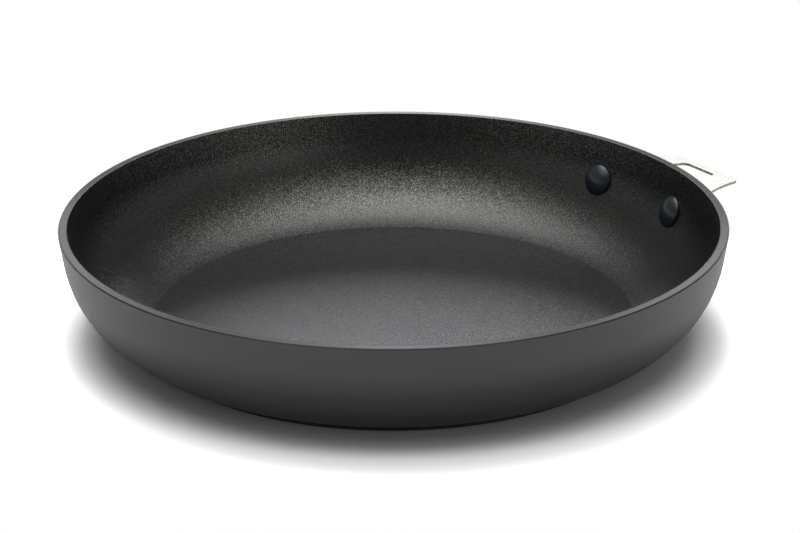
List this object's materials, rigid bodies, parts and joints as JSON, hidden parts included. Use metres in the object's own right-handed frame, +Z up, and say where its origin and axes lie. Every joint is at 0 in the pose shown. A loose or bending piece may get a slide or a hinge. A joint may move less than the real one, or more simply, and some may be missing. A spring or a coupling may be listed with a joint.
{
  "type": "omelette pan",
  "caption": "Round frying pan with curved low walls, a non-stick lining, a perforated induction base plate and a riveted bracket with a window for a lift-off handle.",
  "frame": {"origin": "centre of the foot, on the surface that the pan stands on", "axes": "+X from the pan's centre to the handle bracket, +Z up along the pan's axis, the part is symmetric about Y = 0"},
  "size_m": [0.3145, 0.2798, 0.0486],
  "materials": {
    "hard_anodised_aluminium": "matte",
    "nonstick_coating": "satin, fine sparkle",
    "magnetic_steel": "brushed",
    "stainless_sheet": "satin",
    "coated_rivet": "satin"
  },
  "bodies": {
    "root": {"pan_body": "hard_anodised_aluminium", "nonstick_lining": "nonstick_coating", "induction_plate": "magnetic_steel", "handle_bracket": "stainless_sheet", "rivet_left": "coated_rivet", "rivet_right": "coated_rivet"}
  },
  "joints": []
}
